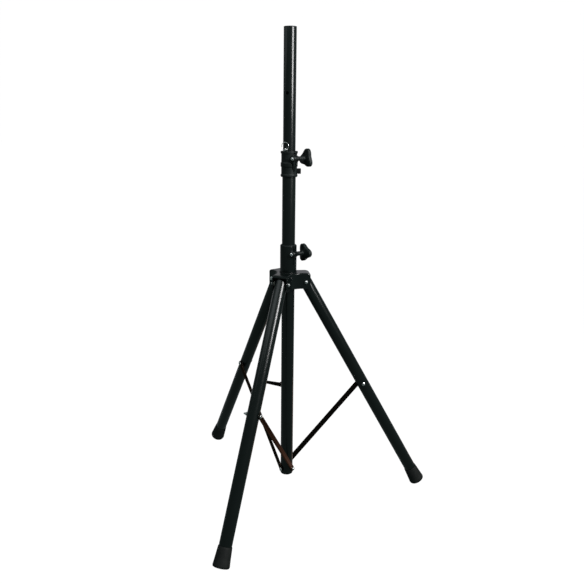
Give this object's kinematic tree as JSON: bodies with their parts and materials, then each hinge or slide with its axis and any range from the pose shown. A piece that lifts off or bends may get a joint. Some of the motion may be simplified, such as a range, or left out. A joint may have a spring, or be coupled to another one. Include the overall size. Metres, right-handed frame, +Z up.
{
  "type": "speaker tripod stand",
  "caption": "Telescopic pole on a folding tripod base: the legs hang from a sliding hub, flat braces tie them to the mast's foot, and a pin and lobed clamp knobs hold the height.",
  "frame": {"origin": "centre of the footprint's bounding box, on the floor; the mast's axis stands 106.5 mm behind it along +Y", "axes": "+Z up along the pole, -Y towards leg 1's foot, +X to the right"},
  "size_m": [0.7834, 0.6848, 1.3856],
  "materials": {
    "black_paint": "satin-gloss black powder coat on steel",
    "zinc": "bright zinc plate",
    "black_steel": "black oxide",
    "black_plastic": "moulded nylon, satin",
    "black_rubber": "moulded rubber, matt",
    "white_nylon": "natural nylon"
  },
  "bodies": {
    "mast": {"mast_tube": "black_paint", "mast_plug": "black_plastic", "mast_collar": "black_plastic", "collar_set_screw": "black_steel", "upper_clamp_nut": "zinc", "mast_tab": "black_paint"},
    "pole": {"upper_tube": "black_paint", "upper_tube_cap": "black_plastic", "upper_tube_guide": "black_plastic"},
    "pin": {"locking_pin": "zinc", "pin_ring": "zinc"},
    "upper_washer": {"upper_clamp_washer": "black_steel"},
    "upper_handle": {"upper_knob": "black_plastic", "upper_clamp_stud": "zinc"},
    "hub": {"hub_sleeve": "black_paint", "hub_bush": "black_plastic", "hub_bracket": "black_paint", "lower_clamp_nut": "zinc", "pivot_bolt_1": "zinc", "pivot_bolt_2": "zinc", "pivot_bolt_3": "zinc", "pivot_nut_1": "zinc", "pivot_nut_2": "zinc", "pivot_nut_3": "zinc"},
    "lower_washer": {"lower_clamp_washer": "black_steel"},
    "lower_handle": {"lower_knob": "black_plastic", "lower_clamp_stud": "zinc"},
    "leg_1_body": {"leg_1": "black_paint", "leg_plug_1": "black_plastic", "foot_1": "black_rubber", "leg_bolt_1": "zinc", "leg_nut_1": "zinc", "leg_spacer_left_1": "white_nylon", "leg_spacer_right_1": "white_nylon"},
    "brace_1_body": {"brace_1": "black_paint", "brace_washer_1": "white_nylon", "brace_bolt_1": "zinc"},
    "leg_2_body": {"leg_2": "black_paint", "leg_plug_2": "black_plastic", "foot_2": "black_rubber", "leg_bolt_2": "zinc", "leg_nut_2": "zinc", "leg_spacer_left_2": "white_nylon", "leg_spacer_right_2": "white_nylon"},
    "brace_2_body": {"brace_2": "black_paint", "brace_washer_2": "white_nylon", "brace_bolt_2": "zinc"},
    "leg_3_body": {"leg_3": "black_paint", "leg_plug_3": "black_plastic", "foot_3": "black_rubber", "leg_bolt_3": "zinc", "leg_nut_3": "zinc", "leg_spacer_left_3": "white_nylon", "leg_spacer_right_3": "white_nylon"},
    "brace_3_body": {"brace_3": "black_paint", "brace_washer_3": "white_nylon", "brace_bolt_3": "zinc"}
  },
  "joints": [
    {"name": "pole_height", "type": "slide", "parent": "mast", "child": "pole", "axis": [0, 0, 1], "range_m": [0, 0.45]},
    {"name": "pin_pull", "type": "slide", "parent": "pole", "child": "pin", "axis": [0, -1, 0], "range_m": [0, 0.045]},
    {"name": "upper_washer_slide", "type": "slide", "parent": "mast", "child": "upper_washer", "axis": [0.5, 0.866, 0], "range_m": [0, 0.0025]},
    {"name": "upper_knob_turn", "type": "hinge", "parent": "upper_washer", "child": "upper_handle", "pos_m": [0.02511, 0.092, 1.0415], "axis": [0.5, 0.866, 0], "range_deg": [0, 900]},
    {"name": "hub_slide", "type": "slide", "parent": "mast", "child": "hub", "axis": [0, 0, 1], "range_m": [0, 0.1282]},
    {"name": "lower_washer_slide", "type": "slide", "parent": "hub", "child": "lower_washer", "axis": [0.5, 0.866, 0], "range_m": [0, 0.0025]},
    {"name": "lower_knob_turn", "type": "hinge", "parent": "lower_washer", "child": "lower_handle", "pos_m": [0.02511, 0.092, 0.773], "axis": [0.5, 0.866, 0], "range_deg": [0, 900]},
    {"name": "leg_1_fold", "type": "hinge", "parent": "hub", "child": "leg_1_body", "pos_m": [0, 0.0563, 0.6893], "axis": [1, 0, 0], "range_deg": [0, 29.2]},
    {"name": "brace_1_fold", "type": "hinge", "parent": "leg_1_body", "child": "brace_1_body", "pos_m": [0, -0.12699, 0.36066], "axis": [-1, 0, 0], "range_deg": [0, 60.9]},
    {"name": "leg_2_fold", "type": "hinge", "parent": "hub", "child": "leg_2_body", "pos_m": [0.04347, 0.1316, 0.6893], "axis": [-0.5, 0.866, 0], "range_deg": [0, 29.2]},
    {"name": "brace_2_fold", "type": "hinge", "parent": "leg_2_body", "child": "brace_2_body", "pos_m": [0.20221, 0.22325, 0.36066], "axis": [0.5, -0.866, 0], "range_deg": [0, 60.9]},
    {"name": "leg_3_fold", "type": "hinge", "parent": "hub", "child": "leg_3_body", "pos_m": [-0.04347, 0.1316, 0.6893], "axis": [-0.5, -0.866, 0], "range_deg": [0, 29.2]},
    {"name": "brace_3_fold", "type": "hinge", "parent": "leg_3_body", "child": "brace_3_body", "pos_m": [-0.20221, 0.22325, 0.36066], "axis": [0.5, 0.866, 0], "range_deg": [0, 60.9]}
  ],
  "couplings": [
    {"joint": "upper_knob_turn", "follows": "upper_washer_slide", "rad_per_m": 6283.2},
    {"joint": "lower_knob_turn", "follows": "lower_washer_slide", "rad_per_m": 6283.2},
    {"joint": "leg_1_fold", "follows": "hub_slide", "rad_per_m": 3.9685},
    {"joint": "brace_1_fold", "follows": "hub_slide", "rad_per_m": 8.2827},
    {"joint": "leg_2_fold", "follows": "hub_slide", "rad_per_m": 3.9685},
    {"joint": "brace_2_fold", "follows": "hub_slide", "rad_per_m": 8.2827},
    {"joint": "leg_3_fold", "follows": "hub_slide", "rad_per_m": 3.9685},
    {"joint": "brace_3_fold", "follows": "hub_slide", "rad_per_m": 8.2827}
  ]
}
